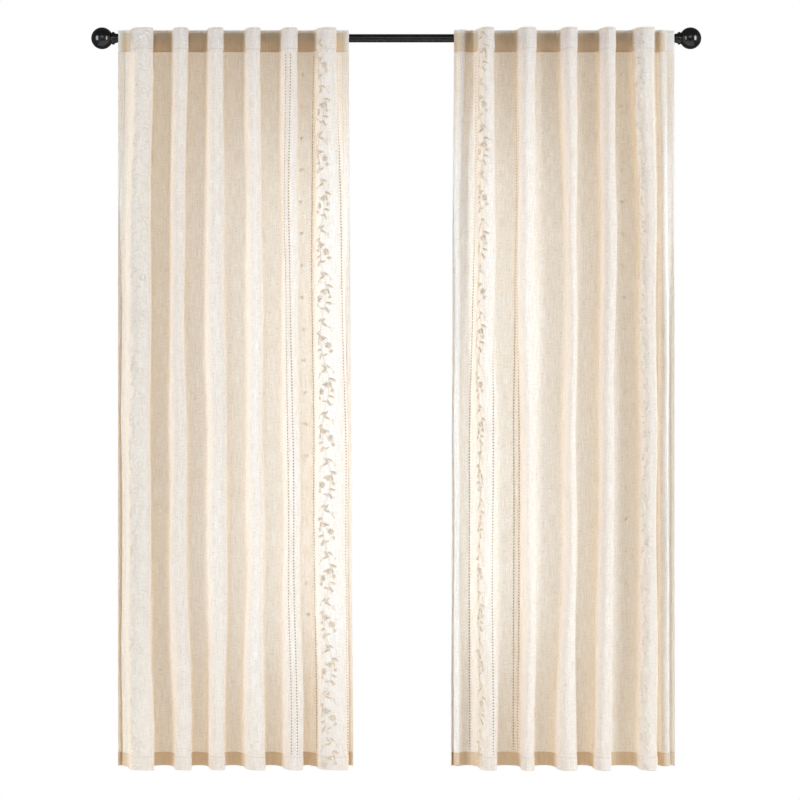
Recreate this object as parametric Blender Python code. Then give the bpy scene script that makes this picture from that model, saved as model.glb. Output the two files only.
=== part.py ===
# Two back-tab curtain panels hanging on one rod with ball finials, one object for each piece that is cut or fitted.
# Metres, +Z up, the front faces -Y and +X is to the right. The origin is the rod's centre, halfway along it.
# The sizes below are in millimetres, and MM turns them to metres as each mesh is made.

import math
from collections import namedtuple

import bmesh
import bpy
import numpy as np

MM = 0.001
GAP = 0.3

# Rod and finials, along the rod from its middle
ROD_RADIUS = 12.0
ROD_HALF_LENGTH = 816.7
ROD_SIDES = 40
ROD_END_BEVEL = 0.6
COLLAR_START = 808.0
COLLAR_RADIUS = 13.4
STEP_START = 813.5
STEP_RADIUS = 14.8
RING_START = 817.0
RING_END = 824.0
RING_RADIUS = 18.4
RING_ROUNDING = 1.2
GROOVE_RADIUS = 16.2
BALL_CENTRE = 853.0
BALL_RADIUS = 31.5
BALL_STEPS = 10
LATHE_SIDES = 28

# Cloth, as it is cut and sewn
FLAT_WIDTH = 1321.0
FLAT_LENGTH = 2134.0
CLOTH_THICKNESS = 1.5
SEWN_THICKNESS = 3.0
TOP_EDGE = 21.0
HEADING_HEIGHT = 64.0
HEM_HEIGHT = 36.0
HEM_STEP = 2.0

# The heading's back lies this far in front of the rod's axis between two folds, and the cloth's middle this far
HEADING_BACK = ROD_RADIUS + GAP
CLOTH_PLANE = HEADING_BACK + SEWN_THICKNESS / 2

# Below the heading the cloth between two folds hangs back by this much at the hem
BELLY_DEPTH = 14.0
BELLY_START = 100.0
BELLY_FULL = 1300.0

# A standing fold seen from above: across is a share of its width from its left edge, out of its depth.
# Its left side swells out gently, and its right side leans back under its front.
FOLD_OUTLINE = (
    {"across": -0.20, "out": 0.00},
    {"across": -0.03, "out": 0.22},
    {"across": 0.07, "out": 0.56},
    {"across": 0.22, "out": 0.84},
    {"across": 0.50, "out": 1.00},
    {"across": 0.80, "out": 0.99},
    {"across": 0.97, "out": 0.88},
    {"across": 1.00, "out": 0.74},
    {"across": 0.92, "out": 0.42},
    {"across": 0.85, "out": 0.11},
    {"across": 0.92, "out": 0.00},
)
# Where a recess has its own points, as shares of its width
RECESS_SHARES = (0.3, 0.7)
# The fold depth that uses up the flat width is looked for between these
SHALLOWEST_FOLD = 10.0
DEEPEST_FOLD = 150.0
DEPTH_STEP = 0.01

# Each row is a fold: its left and right edges as seen from the front, in millimetres from the rod's middle,
# and its depth against the others', at four levels below the top edge
LEVELS = (68.0, 638.0, 1467.0, 2089.0)
Fold = namedtuple("Fold", "left right depth")
Panel = namedtuple("Panel", "left_edge right_edge folds tabs")

LEFT_PANEL = Panel(
    left_edge=(-805, -805, -805, -805),
    right_edge=(-137, -134, -130, -125),
    folds=(
        Fold((-766, -779, -779, -776), (-700, -708, -708, -700), (1.00, 1.00, 1.00, 1.00)),
        Fold((-645, -651, -651, -639), (-599, -611, -605, -588), (1.00, 0.96, 1.00, 1.04)),
        Fold((-544, -547, -539, -539), (-498, -496, -487, -493), (1.00, 1.04, 1.00, 0.96)),
        Fold((-435, -429, -429, -438), (-392, -386, -386, -380), (1.00, 0.98, 1.03, 1.00)),
        Fold((-332, -329, -323, -326), (-285, -285, -277, -268), (1.00, 1.00, 0.95, 1.00)),
        Fold((-231, -234, -234, -225), (-173, -146, -142, -138), (1.00, 0.92, 0.95, 1.00)),
    ),
    tabs=(-785, -674, -572, -466, -361, -258, -157),
)
RIGHT_PANEL = Panel(
    left_edge=(167, 163, 161, 159),
    right_edge=(805, 805, 805, 806),
    folds=(
        Fold((178, 173, 171, 170), (202, 187, 184, 183), (0.22, 0.14, 0.12, 0.10)),
        Fold((235, 232, 238, 241), (281, 283, 287, 290), (1.00, 1.00, 1.00, 1.00)),
        Fold((350, 350, 368, 359), (402, 396, 399, 399), (1.00, 1.03, 0.96, 1.00)),
        Fold((474, 491, 486, 460), (520, 520, 517, 517), (1.00, 0.96, 1.00, 1.03)),
        Fold((586, 589, 584, 569), (630, 632, 624, 618), (1.00, 1.00, 1.04, 1.00)),
        Fold((684, 702, 706, 700), (741, 748, 750, 752), (1.00, 1.00, 0.97, 0.97)),
        Fold((757, 766, 768, 770), (777, 782, 785, 788), (0.16, 0.12, 0.12, 0.12)),
    ),
    tabs=(187, 315, 436, 551, 656, 785),
)

# Between the levels a fold's edges wander a little from side to side
WANDER = 2.0
WANDER_WAVE = 640.0
WANDER_TURN = 1.9

# Levels below the top edge where the solid has a row of points
BODY_ROWS = (150, 290, 460, 638, 820, 1010, 1240, 1467, 1660, 1850, 2000)

# Back tabs
TAB_WIDTH = 36.0
TAB_THICKNESS = 1.5
TAB_TOP = 20.0
TAB_TOP_SEAM = 5.0
TAB_BOTTOM = -42.0
TAB_BOTTOM_SEAM = 6.0
TAB_ARC_STEPS = 8


# Materials

def material(name, colour, roughness, metallic=0.0):
    made = bpy.data.materials.new(name)
    made.use_nodes = True
    shader = made.node_tree.nodes["Principled BSDF"]
    shader.inputs["Base Color"].default_value = (*colour, 1.0)
    shader.inputs["Roughness"].default_value = roughness
    shader.inputs["Metallic"].default_value = metallic
    return made


def add_object(name, mesh, paint):
    made = bpy.data.objects.new(name, mesh)
    bpy.context.scene.collection.objects.link(made)
    made.data.materials.append(paint)
    return made


# Cloth panels

def smooth_step(t):
    """0 up to t = 0, 1 from t = 1, and eased between."""
    t = min(max(t, 0.0), 1.0)
    return t * t * (3.0 - 2.0 * t)


def at_level(values, drop):
    """The value of a table's four at a drop below the top edge, eased from level to level."""
    if drop <= LEVELS[0]:
        return values[0]
    for i in range(len(LEVELS) - 1):
        if drop <= LEVELS[i + 1]:
            share = smooth_step((drop - LEVELS[i]) / (LEVELS[i + 1] - LEVELS[i]))
            return values[i] + (values[i + 1] - values[i]) * share
    return values[-1]


def wander(index, drop):
    """How far fold number index has moved sideways at a drop below the top edge."""
    free = smooth_step((drop - HEADING_HEIGHT) / WANDER_WAVE)
    return WANDER * free * math.sin(drop / WANDER_WAVE * 2.0 * math.pi + index * WANDER_TURN)


def recess(start, end, belly):
    """Two points of the cloth that lies back between two folds."""
    return [(start + (end - start) * share, -belly) for share in RECESS_SHARES]


def section(panel, drop, depth):
    """The cloth's line seen from above at one level, as points (across, out), with folds of this depth."""
    belly = BELLY_DEPTH * smooth_step((drop - BELLY_START) / (BELLY_FULL - BELLY_START))
    start = at_level(panel.left_edge, drop)
    line = [(start, 0.0)]
    for index, fold in enumerate(panel.folds):
        left = at_level(fold.left, drop) + wander(index, drop)
        right = at_level(fold.right, drop) + wander(index, drop)
        out = depth * at_level(fold.depth, drop)
        outline = [(left + (right - left) * p["across"], out * p["out"]) for p in FOLD_OUTLINE]
        line += recess(start, outline[0][0], belly) + outline
        start = outline[-1][0]
    end = at_level(panel.right_edge, drop)
    line += recess(start, end, belly) + [(end, 0.0)]
    return np.array(line)


def length_of(line):
    return np.linalg.norm(np.diff(line, axis=0), axis=1).sum()


def hung_section(panel, drop):
    """The section whose length is the cloth's flat width: the depth of the folds takes up what the width leaves."""
    shallow, deep = SHALLOWEST_FOLD, DEEPEST_FOLD
    while deep - shallow > DEPTH_STEP:
        middle = (shallow + deep) / 2.0
        if length_of(section(panel, drop, middle)) < FLAT_WIDTH:
            shallow = middle
        else:
            deep = middle
    return section(panel, drop, deep)


def panel_rows():
    """Each row's drop below the top edge, and whether the cloth is sewn double there."""
    hem_top = FLAT_LENGTH - HEM_HEIGHT
    return (
        [(0.0, True), (HEADING_HEIGHT, True), (HEADING_HEIGHT + HEM_STEP, False)]
        + [(float(drop), False) for drop in BODY_ROWS]
        + [(hem_top - HEM_STEP, False), (hem_top, True), (FLAT_LENGTH, True)]
    )


def make_panel(name, panel, paint):
    rows = panel_rows()
    shape = bmesh.new()
    sewn = []
    grid = []
    for drop, is_sewn in rows:
        height = TOP_EDGE - drop
        line = hung_section(panel, drop)
        row = [shape.verts.new((x * MM, -(CLOTH_PLANE + out) * MM, height * MM)) for x, out in line]
        grid.append(row)
        sewn += [is_sewn] * len(row)
    for upper, lower in zip(grid, grid[1:]):
        for i in range(len(upper) - 1):
            shape.faces.new((upper[i], lower[i], lower[i + 1], upper[i + 1]))
    mesh = bpy.data.meshes.new(name)
    shape.to_mesh(mesh)
    shape.free()
    cloth = add_object(name, mesh, paint)
    double = cloth.vertex_groups.new(name="sewn double")
    double.add([i for i, is_sewn in enumerate(sewn) if is_sewn], 1.0, "REPLACE")
    solid = cloth.modifiers.new("thickness", "SOLIDIFY")
    solid.thickness = SEWN_THICKNESS * MM
    solid.offset = 0.0
    solid.use_even_offset = True
    solid.vertex_group = double.name
    solid.thickness_vertex_group = CLOTH_THICKNESS / SEWN_THICKNESS
    mesh.shade_smooth()
    return cloth


# Back tabs

def tangent_angle(across, height, radius):
    """The angle on the rod where a straight run from a point touches a circle of this radius, seen along the rod."""
    return math.acos(radius / math.hypot(across, height))


def tab_centreline():
    """The tab's middle line seen along the rod, as points (y, z): down from its top seam, over the back of the rod
    and forward to its bottom seam."""
    seam_y = -HEADING_BACK + GAP + TAB_THICKNESS / 2.0
    top_bend = TAB_TOP - TAB_TOP_SEAM
    bottom_bend = TAB_BOTTOM + TAB_BOTTOM_SEAM
    radius = ROD_RADIUS + GAP + TAB_THICKNESS / 2.0
    first = math.atan2(top_bend, seam_y) - tangent_angle(seam_y, top_bend, radius)
    last = math.atan2(bottom_bend, seam_y) + tangent_angle(seam_y, bottom_bend, radius)
    turns = [first + (last - first) * i / TAB_ARC_STEPS for i in range(TAB_ARC_STEPS + 1)]
    arc = [(radius * math.cos(turn), radius * math.sin(turn)) for turn in turns]
    return np.array([(seam_y, TAB_TOP), (seam_y, top_bend), *arc, (seam_y, bottom_bend), (seam_y, TAB_BOTTOM)])


def offset_line(line, distance):
    """The line moved sideways by a distance, each corner kept at that distance from both its sides."""
    along = np.diff(line, axis=0)
    along /= np.linalg.norm(along, axis=1)[:, None]
    sides = np.stack([-along[:, 1], along[:, 0]], axis=1)
    before = np.vstack([sides[:1], sides])
    after = np.vstack([sides, sides[-1:]])
    corner = before + after
    return line + distance * 2.0 * corner / (corner * corner).sum(axis=1)[:, None]


def make_tab(name, centre, paint):
    line = tab_centreline()
    inner = offset_line(line, TAB_THICKNESS / 2.0)
    outer = offset_line(line, -TAB_THICKNESS / 2.0)
    outline = [*inner, *outer[::-1]]
    shape = bmesh.new()
    left = (centre - TAB_WIDTH / 2.0) * MM
    points = [shape.verts.new((left, y * MM, z * MM)) for y, z in outline]
    # The strip's side is one quad after another, so that its outline may bend back on itself
    for i in range(len(line) - 1):
        shape.faces.new((points[i], points[i + 1], points[-2 - i], points[-1 - i]))
    swept = bmesh.ops.extrude_face_region(shape, geom=shape.faces[:])
    moved = [item for item in swept["geom"] if isinstance(item, bmesh.types.BMVert)]
    bmesh.ops.translate(shape, verts=moved, vec=(TAB_WIDTH * MM, 0.0, 0.0))
    bmesh.ops.recalc_face_normals(shape, faces=shape.faces[:])
    mesh = bpy.data.meshes.new(name)
    shape.to_mesh(mesh)
    shape.free()
    return add_object(name, mesh, paint)


# Rod and finials

def make_rod(paint):
    bpy.ops.mesh.primitive_cylinder_add(
        vertices=ROD_SIDES,
        radius=ROD_RADIUS * MM,
        depth=2.0 * ROD_HALF_LENGTH * MM,
        rotation=(0.0, math.pi / 2.0, 0.0),
    )
    rod = bpy.context.object
    rod.name = "rod"
    rod.data.materials.append(paint)
    edge = rod.modifiers.new("end edges", "BEVEL")
    edge.width = ROD_END_BEVEL * MM
    edge.segments = 1
    edge.limit_method = "ANGLE"
    edge.angle_limit = math.radians(60.0)
    rod.data.shade_smooth()
    rod.data.set_sharp_from_angle(angle=math.radians(40.0))
    return rod


def finial_profile():
    """The finial's outline from its bore to its tip, as points (along the rod, radius)."""
    bore = ROD_RADIUS + GAP
    bottom = ROD_HALF_LENGTH + GAP
    meets = math.asin(GROOVE_RADIUS / BALL_RADIUS)
    ball = [meets + (math.pi - meets) * i / BALL_STEPS for i in range(BALL_STEPS + 1)]
    return [
        (bottom, 0.0),
        (bottom, bore),
        (COLLAR_START, bore),
        (COLLAR_START, COLLAR_RADIUS),
        (STEP_START, COLLAR_RADIUS),
        (STEP_START, STEP_RADIUS),
        (RING_START, STEP_RADIUS),
        (RING_START, RING_RADIUS - RING_ROUNDING),
        (RING_START + RING_ROUNDING, RING_RADIUS),
        (RING_END - RING_ROUNDING, RING_RADIUS),
        (RING_END, RING_RADIUS - RING_ROUNDING),
        (RING_END, GROOVE_RADIUS),
        *[(BALL_CENTRE - BALL_RADIUS * math.cos(turn), BALL_RADIUS * math.sin(turn)) for turn in ball],
    ]


def make_finial(name, side, paint):
    """A finial on the rod's end at this side: 1 is the right end and -1 the left."""
    shape = bmesh.new()
    profile = [shape.verts.new((side * along * MM, 0.0, radius * MM)) for along, radius in finial_profile()]
    edges = [shape.edges.new(pair) for pair in zip(profile, profile[1:])]
    bmesh.ops.spin(
        shape,
        geom=profile + edges,
        cent=(0.0, 0.0, 0.0),
        axis=(1.0, 0.0, 0.0),
        angle=2.0 * math.pi,
        steps=LATHE_SIDES,
        use_merge=True,
    )
    bmesh.ops.remove_doubles(shape, verts=shape.verts[:], dist=0.001 * MM)
    bmesh.ops.recalc_face_normals(shape, faces=shape.faces[:])
    mesh = bpy.data.meshes.new(name)
    shape.to_mesh(mesh)
    shape.free()
    mesh.shade_smooth()
    mesh.set_sharp_from_angle(angle=math.radians(35.0))
    return add_object(name, mesh, paint)


def main():
    for leftover in list(bpy.data.objects):
        bpy.data.objects.remove(leftover)
    cloth = material("cream linen-look cloth", (0.80, 0.69, 0.54), 0.90)
    tape = material("cream tab cloth", (0.76, 0.65, 0.50), 0.90)
    black = material("black enamelled steel", (0.012, 0.012, 0.013), 0.35)
    make_rod(black)
    make_finial("finial_left", -1.0, black)
    make_finial("finial_right", 1.0, black)
    for side, panel in (("left", LEFT_PANEL), ("right", RIGHT_PANEL)):
        make_panel(f"panel_{side}", panel, cloth)
        for number, centre in enumerate(panel.tabs, 1):
            make_tab(f"tab_{side}_{number}", centre, tape)


main()
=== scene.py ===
import math
import random

import bpy
import numpy as np
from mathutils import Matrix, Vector


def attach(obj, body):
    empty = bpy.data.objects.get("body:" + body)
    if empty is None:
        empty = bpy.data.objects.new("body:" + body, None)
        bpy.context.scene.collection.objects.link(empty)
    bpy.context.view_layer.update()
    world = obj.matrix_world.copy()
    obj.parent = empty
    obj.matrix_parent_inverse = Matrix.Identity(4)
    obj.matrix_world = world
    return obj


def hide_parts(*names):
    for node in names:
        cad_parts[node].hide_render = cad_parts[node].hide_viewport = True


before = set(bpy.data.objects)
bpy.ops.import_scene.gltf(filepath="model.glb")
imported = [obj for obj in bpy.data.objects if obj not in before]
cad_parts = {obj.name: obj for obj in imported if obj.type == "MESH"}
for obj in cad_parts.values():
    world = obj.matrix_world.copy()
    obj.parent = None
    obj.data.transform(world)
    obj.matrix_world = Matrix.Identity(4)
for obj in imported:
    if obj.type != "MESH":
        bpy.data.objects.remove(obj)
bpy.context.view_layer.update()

mm = 0.001


# Camera, level with the middle of the panels
camera = {"distance": 8.0, "sideways": 0.0109, "height": -1.049, "viewWidth": 2.32, "sensor": 36.0}
bpy.ops.object.camera_add(
    location=(camera["sideways"], -camera["distance"], camera["height"]),
    rotation=(math.pi / 2, 0.0, 0.0),
)
photoCamera = bpy.context.object
photoCamera.data.sensor_width = camera["sensor"]
photoCamera.data.lens = camera["sensor"] * camera["distance"] / camera["viewWidth"]
bpy.context.scene.camera = photoCamera


# Nodes and colours
def hexColour(text):  # the linear colour of an sRGB hex value
    parts = [int(text[i:i + 2], 16) / 255.0 for i in (1, 3, 5)]
    return (*[c / 12.92 if c <= 0.04045 else ((c + 0.055) / 1.055) ** 2.4 for c in parts], 1.0)


# An input is a value, a hex colour, a socket, or a node whose first output is taken
def addNode(tree, kind, settings=(), inputs=()):
    node = tree.nodes.new("ShaderNode" + kind)
    for name, value in dict(settings).items():
        setattr(node, name, value)
    for name, value in dict(inputs).items():
        socket = node.inputs[name] if isinstance(name, int) else [
            s for s in node.inputs if s.enabled and s.name == name][0]
        if isinstance(value, bpy.types.Node):
            value = [s for s in value.outputs if s.enabled][0]
        if isinstance(value, str):
            value = hexColour(value)
        if isinstance(value, bpy.types.NodeSocket):
            tree.links.new(value, socket)
        else:
            socket.default_value = value
    return node


def emptyMaterial(name):
    made = bpy.data.materials.new(name)
    made.use_nodes = True
    made.node_tree.nodes.clear()
    return made, made.node_tree


smooth = {"interpolation_type": "SMOOTHSTEP"}
colours = {"data_type": "RGBA"}
dimmed = {"data_type": "RGBA", "blend_type": "MULTIPLY"}
times = {"operation": "MULTIPLY"}
timesPlus = {"operation": "MULTIPLY_ADD"}

# Slubbed plain weave, half sheer: its face is near white, and light from behind comes through it tan
weave = {
    "faceLight": "#ffffff", "faceDark": "#f3ede5",
    "throughLight": "#ffebc0", "throughDark": "#eecb98", "throughSlub": "#b9935c",
    "seamAndHoleShadeFace": "#c49c62", "seamAndHoleShadeThrough": "#b08444", "sewnShadeFace": "#e6cda6", "sewnShadeThrough": "#d8ae74",
    "threadGap": 1.1,                 # the spacing of the threads, which only a close view shows
    "through": 0.33, "open": 0.05,    # the shares of light that shine through the yarn and between it
    "rowPitch": 8.7, "rowHalf": 1.9,  # the drawn-thread holes, half as coarse again as real, to stay dotted
    "seamHalf": 1.4, "bump": 0.55,
    "waveRepeat": 0.314,              # the distance at which a wave texture of scale 1 repeats
}
# Noise drawn out into uneven yarn: how wide and long its marks are in mm, its seed and its detail.
# The finest marks are as coarse as one dot of the picture
marks = {
    "warp": (2.7, 46.0, 3.0, 2.0), "weft": (27.6, 2.7, 11.0, 2.0), "grain": (2.5, 3.4, 17.0, 1.0),
    "speck": (2.43, 6.48, 23.0, 0.0), "dash": (18.9, 2.43, 29.0, 0.0), "cloudy": (60.0, 90.0, 31.0, 2.0),
}


def linenWeave(name, hasRows):
    made, tree = emptyMaterial(name)
    uv = addNode(tree, "UVMap", {"uv_map": "flat"})
    noise = {}
    for mark, (wide, long, seed, detail) in marks.items():
        fine = (1 / (wide * mm), 1 / (long * mm), 1.0)
        spot = addNode(tree, "Mapping", inputs={
            "Vector": uv, "Location": (seed, seed * 0.7, 0.0), "Scale": fine})
        noise[mark] = addNode(tree, "TexNoise", {"noise_dimensions": "2D"}, {
            "Vector": spot, "Scale": 1.0, "Detail": detail, "Roughness": 0.6})
    yarn = addNode(tree, "Math", timesPlus, {0: noise["weft"], 1: 0.45, 2: noise["warp"]})
    yarn = addNode(tree, "Math", timesPlus, {0: noise["grain"], 1: 0.75, 2: yarn})
    uneven = addNode(tree, "MapRange", smooth, {"Value": yarn, "From Min": 0.80, "From Max": 1.40})
    heavy = addNode(tree, "Math", {"operation": "MAXIMUM"}, {0: noise["speck"], 1: noise["dash"]})
    slub = addNode(tree, "MapRange", smooth, {"Value": heavy, "From Min": 0.74, "From Max": 0.84})
    threadScale = weave["waveRepeat"] / (weave["threadGap"] * mm)
    warpThreads, weftThreads = [addNode(tree, "TexWave", {"bands_direction": direction}, {
        "Vector": uv, "Scale": threadScale, "Distortion": 1.2, "Detail": 1.0,
    }) for direction in ("X", "Y")]
    threads = addNode(tree, "Math", {"operation": "ADD"}, {0: warpThreads, 1: weftThreads})

    face = addNode(tree, "Mix", colours, {"Factor": uneven, "A": weave["faceDark"], "B": weave["faceLight"]})
    faceSlub = addNode(tree, "Math", times, {0: slub, 1: 0.25})
    face = addNode(tree, "Mix", colours, {"Factor": faceSlub, "A": face, "B": weave["throughDark"]})
    through = addNode(tree, "Mix", colours, {
        "Factor": uneven, "A": weave["throughDark"], "B": weave["throughLight"]})
    throughSlub = addNode(tree, "Math", times, {0: slub, 1: 0.55})
    through = addNode(tree, "Mix", colours, {"Factor": throughSlub, "A": through, "B": weave["throughSlub"]})
    patch = addNode(tree, "MapRange", smooth, {
        "Value": noise["cloudy"], "From Min": 0.35, "From Max": 0.65, "To Max": 0.25})
    through = addNode(tree, "Mix", colours, {"Factor": patch, "A": through, "B": weave["throughDark"]})
    height = addNode(tree, "Math", timesPlus, {0: threads, 1: 0.2, 2: yarn})
    height = addNode(tree, "Math", timesPlus, {0: slub, 1: 0.5, 2: height})
    share = weave["through"]
    if hasRows:  # the sewn cloth carries its seams, rows and turned layers, and the painted shade between its folds, as values on its points
        seam, row, recessShade, share, sideHem = [
            addNode(tree, "Attribute", {"attribute_name": value}).outputs["Fac"]
            for value in ("seamGap", "rowGap", "sewnLayerShade", "throughShare", "sideHem")]
        onSeam = addNode(tree, "MapRange", smooth, {
            "Value": seam, "From Min": 0.3 * mm, "From Max": weave["seamHalf"] * mm,
            "To Min": 0.3, "To Max": 0.0})
        inRow = addNode(tree, "MapRange", smooth, {
            "Value": row, "From Min": 1.5 * mm, "From Max": weave["rowHalf"] * mm,
            "To Min": 1.0, "To Max": 0.0})
        down = addNode(tree, "SeparateXYZ", inputs={"Vector": uv}).outputs["Y"]
        turn = addNode(tree, "Math", times, {0: down, 1: 2 * math.pi / (weave["rowPitch"] * mm)})
        beat = addNode(tree, "Math", {"operation": "SINE"}, {0: turn})
        gap = addNode(tree, "MapRange", smooth, {"Value": beat, "From Min": 0.0, "From Max": 0.4})
        # painted shade: the drawn-thread holes are darkened to tan-brown as the shadow inside them, and the
        # seam lines as the shadow of their grooves together with the stitched layers
        hole = addNode(tree, "Math", times, {0: inRow, 1: gap})
        shade = addNode(tree, "Math", {"operation": "MAXIMUM"}, {0: onSeam, 1: hole})
        face = addNode(tree, "Mix", colours, {"Factor": shade, "A": face, "B": weave["seamAndHoleShadeFace"]})
        # painted shade: the sewn layers between the folds are darkened to tan in the face colour and in the
        # through colour
        face = addNode(tree, "Mix", dimmed, {"Factor": recessShade, "A": face, "B": weave["sewnShadeFace"]})
        for factor, tint in ((shade, "seamAndHoleShadeThrough"), (recessShade, "sewnShadeThrough"), (sideHem, "faceLight")):
            through = addNode(tree, "Mix", colours, {"Factor": factor, "A": through, "B": weave[tint]})
        height = addNode(tree, "Math", timesPlus, {0: shade, 1: -0.8, 2: height})
    bump = addNode(tree, "Bump", inputs={"Strength": 0.5, "Distance": weave["bump"] * mm, "Height": height})
    fibre = addNode(tree, "BsdfPrincipled", inputs={
        "Base Color": face, "Roughness": 0.88, "Sheen Weight": 0.12, "Sheen Roughness": 0.5,
        "Specular IOR Level": 0.2, "Normal": bump})
    lit = addNode(tree, "BsdfTranslucent", inputs={"Color": through, "Normal": bump})
    both = addNode(tree, "MixShader", inputs={0: share, 1: fibre, 2: lit})
    clear = addNode(tree, "BsdfTransparent")
    sheer = addNode(tree, "MixShader", inputs={0: weave["open"], 1: both, 2: clear})
    addNode(tree, "OutputMaterial", inputs={"Surface": sheer})
    return made


# Rayon floss in satin stitch: one half of each leaf, and a little the lines between its threads, are painted
# tan as shade, as strongly as each vine's shade strength says
floss = {
    "bright": "#fff7ea", "shaded": "#cfa468", "through": "#ffe8b8", "throughShare": 0.12, "threads": 60.0,
}


def satinFloss(name):
    made, tree = emptyMaterial(name)
    uv = addNode(tree, "UVMap", {"uv_map": "stitch"})
    parts = addNode(tree, "SeparateXYZ", inputs={"Vector": uv})
    half = addNode(tree, "MapRange", smooth, {
        "Value": parts.outputs["Y"], "From Min": -0.12, "From Max": 0.12})
    away = addNode(tree, "Math", {"operation": "ABSOLUTE"}, {0: parts.outputs["Y"]})
    slant = addNode(tree, "Math", {"operation": "SUBTRACT"}, {0: parts.outputs["X"], 1: away})
    turn = addNode(tree, "Math", times, {0: slant, 1: floss["threads"]})
    thread = addNode(tree, "Math", {"operation": "SINE"}, {0: turn})
    shadeStrength = addNode(tree, "Attribute", {"attribute_name": "shadeStrength"}).outputs["Fac"]
    line = addNode(tree, "MapRange", smooth, {
        "Value": thread, "From Min": 0.5, "From Max": 1.0, "To Max": 0.3})
    other = addNode(tree, "Math", {"operation": "SUBTRACT"}, {0: 1.0, 1: half})
    paintedTan = addNode(tree, "Math", {"operation": "MAXIMUM"}, {0: other, 1: line})
    paintedTan = addNode(tree, "Math", times, {0: paintedTan, 1: shadeStrength})
    colour = addNode(tree, "Mix", colours, {"Factor": paintedTan, "A": floss["bright"], "B": floss["shaded"]})
    bump = addNode(tree, "Bump", inputs={"Strength": 0.5, "Distance": 0.3 * mm, "Height": thread})
    satin = addNode(tree, "BsdfPrincipled", inputs={
        "Base Color": colour, "Roughness": 0.42, "Sheen Weight": 0.2, "Normal": bump})
    lit = addNode(tree, "BsdfTranslucent", inputs={"Color": floss["through"]})
    both = addNode(tree, "MixShader", inputs={0: floss["throughShare"], 1: satin, 2: lit})
    addNode(tree, "OutputMaterial", inputs={"Surface": both})
    return made


# Spun polyester sewing thread, a shade darker than the cloth: twisted and dull
def sewingThread(name, text):
    made, tree = emptyMaterial(name)
    spot = addNode(tree, "TexCoord").outputs["Object"]
    fuzz = addNode(tree, "TexNoise", inputs={"Vector": spot, "Scale": 1 / (0.8 * mm), "Detail": 1.0})
    colour = addNode(tree, "Mix", colours, {"Factor": fuzz, "A": text, "B": "#efe7da"})
    bump = addNode(tree, "Bump", inputs={"Strength": 0.4, "Distance": 0.1 * mm, "Height": fuzz})
    thread = addNode(tree, "BsdfPrincipled", inputs={"Base Color": colour, "Roughness": 0.75, "Normal": bump})
    lit = addNode(tree, "BsdfTranslucent", inputs={"Color": colour})
    both = addNode(tree, "MixShader", inputs={0: 0.1, 1: thread, 2: lit})
    addNode(tree, "OutputMaterial", inputs={"Surface": both})
    return made


# Black stoving enamel: soft-edged highlights, a faint orange peel and a little dust
def blackEnamel(name, text, roughness, coat):
    made, tree = emptyMaterial(name)
    spot = addNode(tree, "TexCoord").outputs["Object"]
    peel = addNode(tree, "TexNoise", inputs={"Vector": spot, "Scale": 1 / (2.2 * mm), "Detail": 2.0})
    dust = addNode(tree, "TexNoise", inputs={"Vector": spot, "Scale": 1 / (28 * mm), "Detail": 5.0})
    dusty = addNode(tree, "MapRange", smooth, {
        "Value": dust, "From Min": 0.45, "From Max": 0.75, "To Max": 0.5})
    colour = addNode(tree, "Mix", colours, {"Factor": dusty, "A": text, "B": "#202021"})
    rough = addNode(tree, "MapRange", smooth, {
        "Value": dust, "From Min": 0.3, "From Max": 0.8,
        "To Min": roughness - 0.05, "To Max": roughness + 0.09})
    bump = addNode(tree, "Bump", inputs={"Strength": 0.12, "Distance": 0.08 * mm, "Height": peel})
    paint = addNode(tree, "BsdfPrincipled", inputs={
        "Base Color": colour, "Roughness": rough, "IOR": 1.5, "Coat Weight": coat, "Coat Roughness": 0.1,
        "Normal": bump})
    addNode(tree, "OutputMaterial", inputs={"Surface": paint})
    return made


clothMaterial = linenWeave("slubbed linen-look plain weave", True)
tabMaterial = linenWeave("folded plain weave tape", False)
flossMaterial = satinFloss("rayon satin-stitch floss")
threadMaterial = sewingThread("spun polyester sewing thread", "#e0d0b4")
barMaterial = sewingThread("drawn-thread bundles", "#fffaf2")
rodMaterial = blackEnamel("satin black stoved steel", "#0e0e0f", 0.30, 0.0)
finialMaterial = blackEnamel("gloss black enamelled resin", "#0a0a0b", 0.24, 0.4)
print("materials are ready")


# Modelling helpers
def deselectAll():
    if bpy.context.object and bpy.context.object.mode != "OBJECT":
        bpy.ops.object.mode_set(mode="OBJECT")
    bpy.ops.object.select_all(action="DESELECT")


def readMesh(piece):  # a modelled piece's points and faces, and the piece itself is taken away
    mesh = piece.data
    points = np.empty(len(mesh.vertices) * 3)
    mesh.vertices.foreach_get("co", points)
    faces = [tuple(face.vertices) for face in mesh.polygons]
    bpy.data.objects.remove(piece)
    return points.reshape(-1, 3), faces


# Four-sided faces of a grid of points, as corner numbers
def gridFaces(rows, columns):
    index = np.arange(rows * columns).reshape(rows, columns)
    corners = [index[:-1, :-1], index[1:, :-1], index[1:, 1:], index[:-1, 1:]]
    return np.stack(corners, axis=2).reshape(-1, 4)


def buildPiece(name, points, faces, material, uvName=None, uv=None):
    mesh = bpy.data.meshes.new(name)
    mesh.from_pydata(points.tolist(), [], faces)
    if uvName:
        corners = np.empty(len(mesh.loops), dtype=np.int64)
        mesh.loops.foreach_get("vertex_index", corners)
        mesh.uv_layers.new(name=uvName).data.foreach_set("uv", uv[corners].ravel())
    mesh.materials.append(material)
    mesh.shade_smooth()
    piece = bpy.data.objects.new(name, mesh)
    bpy.context.scene.collection.objects.link(piece)
    return piece


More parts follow.
